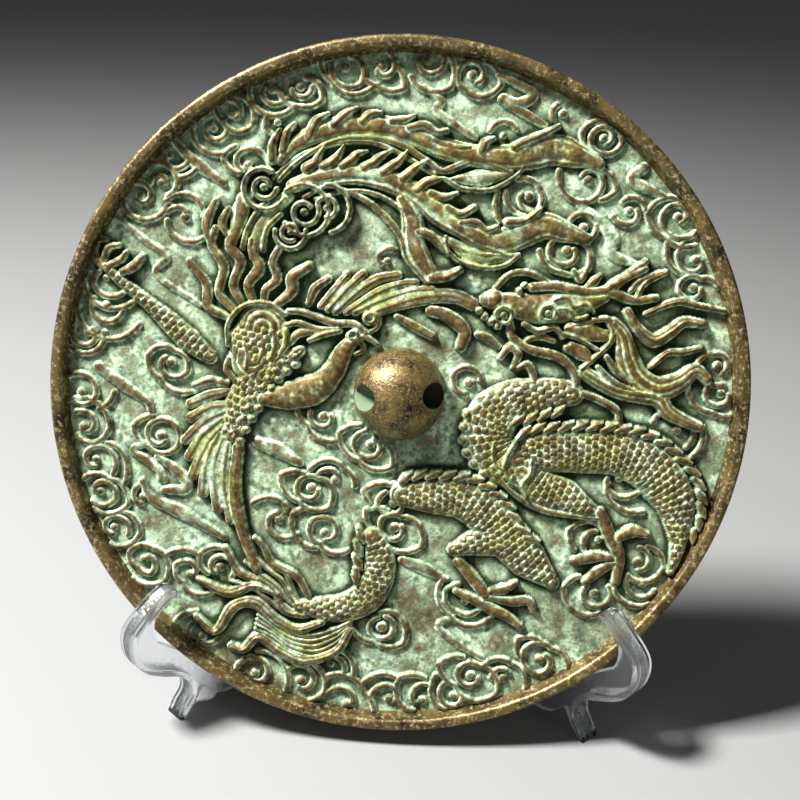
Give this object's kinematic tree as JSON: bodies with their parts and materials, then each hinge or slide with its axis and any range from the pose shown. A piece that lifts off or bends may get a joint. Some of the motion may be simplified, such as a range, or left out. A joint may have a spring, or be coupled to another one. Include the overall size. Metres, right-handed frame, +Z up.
{
  "type": "bronze mirror on display cradle",
  "caption": "Round cast bronze mirror with a phoenix, a dragon and cloud curls in relief round a pierced knob, leaning back in a clear plastic cradle with scrolled hooks",
  "frame": {"origin": "on the floor, at the middle of the bottom of the box round the whole object", "axes": "+X to the viewer's right, +Y away from the relief towards the cradle's rear seam, +Z up"},
  "size_m": [0.127, 0.0504, 0.1261],
  "materials": {
    "bronze": "aged, with brown and pale green patina",
    "clear_plastic": "clear with a frosted web"
  },
  "bodies": {
    "root": {"mirror": "bronze", "stand_left": "clear_plastic", "stand_right": "clear_plastic"}
  },
  "joints": []
}
